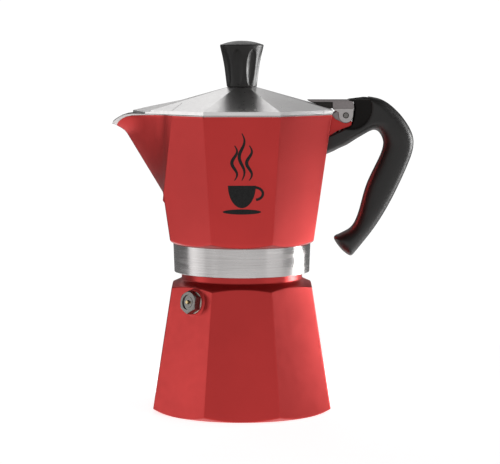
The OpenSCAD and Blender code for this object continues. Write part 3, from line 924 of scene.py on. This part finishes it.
# ------------------------------------------------------------------ handle
def handle_outside():
    """Outer curve, end and inner curve of the handle, seen from the front."""
    outer = spline([(62.3, 183.9), (67.8, 184.6), (75.7, 185.2), (84.4, 182.6), (93.4, 174.8), (99.9, 164.8),
                    (101.2, 156.3), (97.9, 145.2), (88.4, 124.7), (78.6, 108.3), (66.5, 92.9)], 6)
    end = spline([(66.5, 92.9), (64, 91.3), (58.8, 95.1), (54.6, 101.1), (55.5, 103.3)], 5)
    inner = spline([(55.5, 103.3), (59.1, 104.9), (64.8, 108.5), (68.7, 116.1), (73.8, 133.9), (82.4, 152.6),
                    (83, 160.8), (78.2, 165.8), (69.3, 161.6), (59.3, 155.5), (46.6, 150.2)], 6)
    return [tuple(p) for p in outer[:-1] + end[:-1] + inner]


HANDLE_BACK = [(46.6, 161.2), (52.7, 162.7), (64.4, 168.3), (65.9, 172), (66.1, 175), (66.6, 178.9),
               (66.3, 182.2), (64.3, 182.8), (62.2, 183.1)]
HANDLE_HALF = 10.0
POCKET_X, POCKET_Z, POCKET_R, POCKET_DEEP = 63.8, 178.9, 12.6, 1.1


def prism(name, outline, half):
    """Outline in X and Z given thickness along Y, as a temporary closed mesh."""
    n = len(outline)
    verts = [(x * MM, side * half * MM, z * MM) for side in (-1, 1) for x, z in outline]
    faces = [tuple(range(n)), tuple(range(2 * n - 1, n - 1, -1))]
    faces += [(i, (i + 1) % n, n + (i + 1) % n, n + i) for i in range(n)]
    mesh = bpy.data.meshes.new(name)
    mesh.from_pydata(verts, [], faces)
    bm = bmesh.new()
    bm.from_mesh(mesh)
    bmesh.ops.recalc_face_normals(bm, faces=bm.faces)
    bm.to_mesh(mesh)
    bm.free()
    return temp_object(name, mesh)


def distance_to(points, line):
    """Distance from each point to an open line of points."""
    best = np.full(len(points), 1e9)
    for a, b in zip(line[:-1], line[1:]):
        a, b = np.array(a), np.array(b)
        d = b - a
        t = np.clip((points - a) @ d / (d @ d), 0, 1)
        best = np.minimum(best, np.linalg.norm(points - a - t[:, None] * d, axis=1))
    return best


def smooth_array(a, b, v):
    t = np.clip((v - a) / (b - a), 0, 1)
    return t * t * (3 - 2 * t)


def handle_half(x, z):
    """Half width of the handle along Y: rounded towards its outside, hollowed beside the lid's ears."""
    d = distance_to(np.column_stack([x, z]), handle_outside())
    wide = np.interp(z, [91, 98, 108, 130, 148, 163, 185], [10.3, 9.9, 9.2, 8.4, 8.4, 9.8, 9.9])
    reach = 1.6 + 6.9 * smooth_array(70, 92, x + 1.5 * np.maximum(172 - z, 0))
    dome = np.sqrt(1 - (1 - np.clip(d / reach, 0, 1)) ** 2)
    low = np.where(reach > 4, 0.16, 0.16 + 0.6 * (1 - (reach - 1.6) / 2.4))
    half = wide * (low + (1 - low) * dome)
    r = np.hypot(x - POCKET_X, z - POCKET_Z)
    pocket = smooth_array(13.1, 12.2, r) * smooth_array(183.9, 183.2, z) * smooth_array(165.4, 167.4, z)
    return half - POCKET_DEEP * pocket


def temp_object(name, mesh):
    obj = bpy.data.objects.new(name, mesh)
    bpy.context.scene.collection.objects.link(obj)
    return obj


def cutter_cylinder(name, x, z, r, half, axis="Y", steps=64):
    """Plain closed cylinder used only to cut; it is removed afterwards."""
    bm = bmesh.new()
    ring = circle(r, steps)
    ends = []
    for s in (-1, 1):
        if axis == "Y":
            ends.append([bm.verts.new(((x + u) * MM, s * half * MM, (z + v) * MM)) for u, v in ring])
        else:
            ends.append([bm.verts.new(((x + u) * MM, v * MM, (z + s * half) * MM)) for u, v in ring])
    bm.faces.new(ends[0])
    bm.faces.new(ends[1][::-1])
    for i in range(steps):
        j = (i + 1) % steps
        bm.faces.new((ends[0][i], ends[1][i], ends[1][j], ends[0][j]))
    bmesh.ops.recalc_face_normals(bm, faces=bm.faces)
    mesh = bpy.data.meshes.new(name)
    bm.to_mesh(mesh)
    bm.free()
    return temp_object(name, mesh)


def cutter_box(name, low, high):
    bm = bmesh.new()
    bmesh.ops.create_cube(bm, size=1)
    for v in bm.verts:
        v.co = Vector([lerp(lo, hi, c + 0.5) * MM for lo, hi, c in zip(low, high, v.co)])
    mesh = bpy.data.meshes.new(name)
    bm.to_mesh(mesh)
    bm.free()
    return temp_object(name, mesh)


def combine(obj, other, operation):
    m = obj.modifiers.new(operation.lower(), "BOOLEAN")
    m.operation = operation
    m.object = other
    m.solver = "EXACT"
    apply_modifiers(obj)
    bpy.data.objects.remove(other)


def chamber_cutter():
    """Octagonal block that shapes the arm's end to the chamber's wall."""
    bm = bmesh.new()
    rings = []
    for z in (98, RIM_Z):
        r = chamber_corner(z) + 0.1
        rings.append([bm.verts.new((x * MM, y * MM, z * MM)) for x, y in octagon(r)])
    bm.faces.new(rings[0][::-1])
    bm.faces.new(rings[1])
    for k in range(8):
        j = (k + 1) % 8
        bm.faces.new((rings[0][k], rings[0][j], rings[1][j], rings[1][k]))
    bmesh.ops.recalc_face_normals(bm, faces=bm.faces)
    mesh = bpy.data.meshes.new("cut_chamber")
    bm.to_mesh(mesh)
    bm.free()
    return temp_object("cut_chamber", mesh)


FORK_HALF = 8.2
FORK_R, FORK_END = 10.7, 74.6
SCREW_X = 57.8


def fork_space():
    """Outline of the room the lid's ears sweep in the handle's head."""
    lead = [(PIN_X, PIN_Z), (PIN_X, PIN_Z + 8), (64.8, PIN_Z - 6.6)]
    return lead, arc(PIN_X, PIN_Z, FORK_R, -42, 42, 14)


def make_handle():
    obj = prism("handle_grip", handle_outside() + HANDLE_BACK, HANDLE_HALF)
    r = obj.modifiers.new("remesh", "REMESH")
    r.mode = "VOXEL"
    r.voxel_size = 0.0005
    apply_modifiers(obj)
    co = np.empty(len(obj.data.vertices) * 3)
    obj.data.vertices.foreach_get("co", co)
    co = co.reshape(-1, 3)
    co[:, 1] *= handle_half(co[:, 0] / MM, co[:, 2] / MM) / HANDLE_HALF
    obj.data.vertices.foreach_set("co", co.ravel())
    s = obj.modifiers.new("smooth", "SMOOTH")
    s.factor = 0.5
    s.iterations = 6
    apply_modifiers(obj)
    box = cutter_box("cut_fork", (PIN_X, -FORK_HALF, PIN_Z), (FORK_END, FORK_HALF, PIN_Z + 20))
    combine(obj, box, "DIFFERENCE")
    sweep = [(x, y, z) for part in fork_space() for y in (-FORK_HALF, FORK_HALF) for x, z in part]
    combine(obj, hull_object("cut_sweep", sweep), "DIFFERENCE")
    combine(obj, chamber_cutter(), "DIFFERENCE")
    side = [(44, 158.8), (51.3, 162), (64.5, 168.4), (65.1, 172.9), (44, 181)]
    lug = [(x, y, z) for y in (-EAR_IN, EAR_IN) for x, z in side]
    combine(obj, hull_object("cut_lug", lug), "DIFFERENCE")
    combine(obj, cutter_cylinder("cut_screw", SCREW_X, 152.4, 4.4, 8, "Z"), "DIFFERENCE")
    combine(obj, cutter_cylinder("cut_shank", SCREW_X, 165, 2.3, 8, "Z"), "DIFFERENCE")
    finish_piece(obj, RESIN, "chamber", weighted=False)
    obj.data.materials.append(DULL_RESIN)
    for p in obj.data.polygons:
        x, y, z = p.center / MM
        if math.hypot(x - POCKET_X, z - POCKET_Z) < POCKET_R and 166 < z < 183.6:
            p.material_index = 1
    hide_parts("handle")


# ------------------------------------------------------------------ print on the front facet
def on_front_facet(x, z, proud):
    flat = chamber_corner(z) * FLAT
    return (x, -(flat + proud), z)


def print_patch(name, loops):
    """Thin closed patches of ink lying on the front facet; each loop is an outline in X and Z."""
    verts, faces = [], []
    for loop in loops:
        n, base = len(loop), len(verts)
        verts += [on_front_facet(x, z, 0.06) for x, z in loop] + [on_front_facet(x, z, -0.1) for x, z in loop]
        faces += [tuple(base + i for i in range(n)), tuple(base + n + i for i in range(n - 1, -1, -1))]
        faces += [(base + i, base + (i + 1) % n, base + n + (i + 1) % n, base + n + i) for i in range(n)]
    return add_mesh(name, verts, faces, INK, "chamber", weighted=False, smooth=False)


def ribbon(points, width):
    """Closed outline of a stroke with the given widths along it."""
    left, right = [], []
    n = len(points)
    for i, p in enumerate(points):
        a, b = points[max(i - 1, 0)], points[min(i + 1, n - 1)]
        d = np.array(b) - np.array(a)
        d = d / np.linalg.norm(d)
        w = width(i / (n - 1)) / 2
        left.append((p[0] - d[1] * w, p[1] + d[0] * w))
        right.append((p[0] + d[1] * w, p[1] - d[0] * w))
    return left + right[::-1]


def make_print():
    """A plain coffee cup on its saucer with three curls of steam."""
    cx, cz = 0.0, 127.0
    bowl = [(-8, 9)] + [(-8 + 16 * k / 10, 9) for k in range(1, 11)]
    bowl += [(8 * math.cos(t) * (1 - 0.12 * math.sin(-t)), 9 - 13 * abs(math.sin(t)) ** 0.8)
             for t in [-math.pi * k / 20 for k in range(1, 20)]]
    cup = [(cx + x, cz + z) for x, z in bowl]
    saucer = [(cx + 11 * x, cz - 6.2 + 1.5 * z) for x, z in circle(1, 40)]
    ear = ribbon([(cx + 7.4 + 4.6 * math.sin(t), cz + 4.4 + 3.6 * math.cos(t))
                  for t in [lerp(0.1, 3.0, k / 14) for k in range(15)]], lambda s: 1.5)
    steam = []
    for dx, h in ((-4.2, 20), (0, 27), (4.2, 20)):
        pts = [(cx + dx + 1.5 * math.sin(k / 24 * 3 * math.pi), cz + 12 + h * k / 24) for k in range(25)]
        steam.append(ribbon(pts, lambda s: 0.5 + 1.4 * math.sin(math.pi * s)))
    print_patch("print_cup", [cup, saucer, ear] + steam)


# ------------------------------------------------------------------ CAD nodes that stay
def dress_cad_nodes():
    """Materials for the CAD parts whose shape is already right."""
    looks = {"valve_body": STEEL, "valve_cap": STEEL, "valve_stem": BRASS, "valve_spring": STEEL,
             "valve_washer": RUBBER, "valve_seal": RUBBER, "funnel": INNER, "funnel_screen": INNER,
             "gasket": RUBBER, "filter_plate": INNER, "handle_screw": STEEL, "handle_washer": STEEL,
             "hinge_pin": STEEL, "knob_insert": BRASS, "knob_screw": STEEL}
    for node, material in looks.items():
        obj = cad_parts[node]
        if not obj.material_slots:
            obj.data.materials.append(material)
        for s in obj.material_slots:
            s.material = material


# ------------------------------------------------------------------ stage, light and camera
def make_stage():
    """Round white table top."""
    ring = [(x, y, 0) for x, y in circle(0.32, 96)]
    mesh = bpy.data.meshes.new("floor")
    mesh.from_pydata(ring, [], [tuple(range(len(ring)))])
    floor = bpy.data.objects.new("floor", mesh)
    bpy.context.scene.collection.objects.link(floor)
    m, _, b = new_material("floor_white")
    b.inputs["Base Color"].default_value = (0.9, 0.9, 0.9, 1)
    b.inputs["Roughness"].default_value = 0.7
    b.inputs["Specular IOR Level"].default_value = 0.1
    b.inputs["Emission Color"].default_value = (1, 1, 1, 1)
    b.inputs["Emission Strength"].default_value = 0.78
    mesh.materials.append(m)


def area_light(name, place, target, size, power, spread=180):
    """Rectangular softbox; spread is the fan of its grid in degrees."""
    data = bpy.data.lights.new(name, "AREA")
    data.shape = "RECTANGLE"
    data.size, data.size_y = size
    data.energy = power
    data.spread = math.radians(spread)
    obj = bpy.data.objects.new(name, data)
    obj.location = place
    obj.rotation_euler = (Vector(target) - Vector(place)).to_track_quat("-Z", "Y").to_euler()
    obj.visible_camera = False
    bpy.context.scene.collection.objects.link(obj)
    return obj


def make_light():
    """Softboxes in a dim grey studio; the backdrop itself shows white."""
    bpy.context.scene.view_settings.view_transform = "Standard"
    world = bpy.data.worlds.new("studio")
    bpy.context.scene.world = world
    world.use_nodes = True
    t = world.node_tree
    bg = t.nodes["Background"]
    coord = t.nodes.new("ShaderNodeTexCoord")
    split = t.nodes.new("ShaderNodeSeparateXYZ")
    t.links.new(coord.outputs["Generated"], split.inputs["Vector"])
    parts = []
    for axis, span_in, span_out in (("Y", (-1, 0.35), (0.76, 0.17)), ("Z", (0.3, 0.75), (1, 0.42))):
        r = t.nodes.new("ShaderNodeMapRange")
        r.inputs["From Min"].default_value, r.inputs["From Max"].default_value = span_in
        r.inputs["To Min"].default_value, r.inputs["To Max"].default_value = span_out
        t.links.new(split.outputs[axis], r.inputs["Value"])
        parts.append(r.outputs["Result"])
    total = t.nodes.new("ShaderNodeMath")
    total.operation = "MULTIPLY"
    t.links.new(parts[0], total.inputs[0])
    t.links.new(parts[1], total.inputs[1])
    path = t.nodes.new("ShaderNodeLightPath")
    mix = t.nodes.new("ShaderNodeMix")
    mix.inputs["B"].default_value = 1.05
    t.links.new(total.outputs["Value"], mix.inputs["A"])
    t.links.new(path.outputs["Is Camera Ray"], mix.inputs["Factor"])
    bg.inputs["Color"].default_value = (1, 1, 1, 1)
    t.links.new(mix.outputs["Result"], bg.inputs["Strength"])
    area_light("right_box", (0.165, 0.085, 0.12), (0, 0.08, 0.12), (0.15, 0.24), 0.5, 74)
    area_light("left_box", (-0.22, -0.05, 0.12), (0, -0.05, 0.12), (0.13, 0.3), 0.014, 56)
    area_light("front_right_box", (0.42, -0.3, 0.15), (0, -0.02, 0.13), (0.3, 0.35), 0.13)
    area_light("front_left_box", (-0.42, -0.3, 0.15), (0, -0.02, 0.13), (0.3, 0.35), 0.06)
    area_light("back_box", (-0.1, 0.25, 0.38), (-0.02, 0, 0.19), (0.3, 0.2), 0.19)
    area_light("back_right_box", (0.08, 0.25, 0.32), (0.035, -0.03, 0.18), (0.12, 0.1), 0.016)


def make_camera():
    data = bpy.data.cameras.new("camera")
    data.sensor_width = 36
    data.lens = 154.6
    cam = bpy.data.objects.new("camera", data)
    cam.location = (0, -1.267, 0.2238)
    cam.rotation_euler = (math.radians(90 - 5.35), 0, -0.0038)
    bpy.context.scene.collection.objects.link(cam)
    bpy.context.scene.camera = cam


make_camera()
make_light()
make_stage()
make_boiler()
make_chamber()
make_lid()
make_knob()
make_handle()
make_print()
dress_cad_nodes()
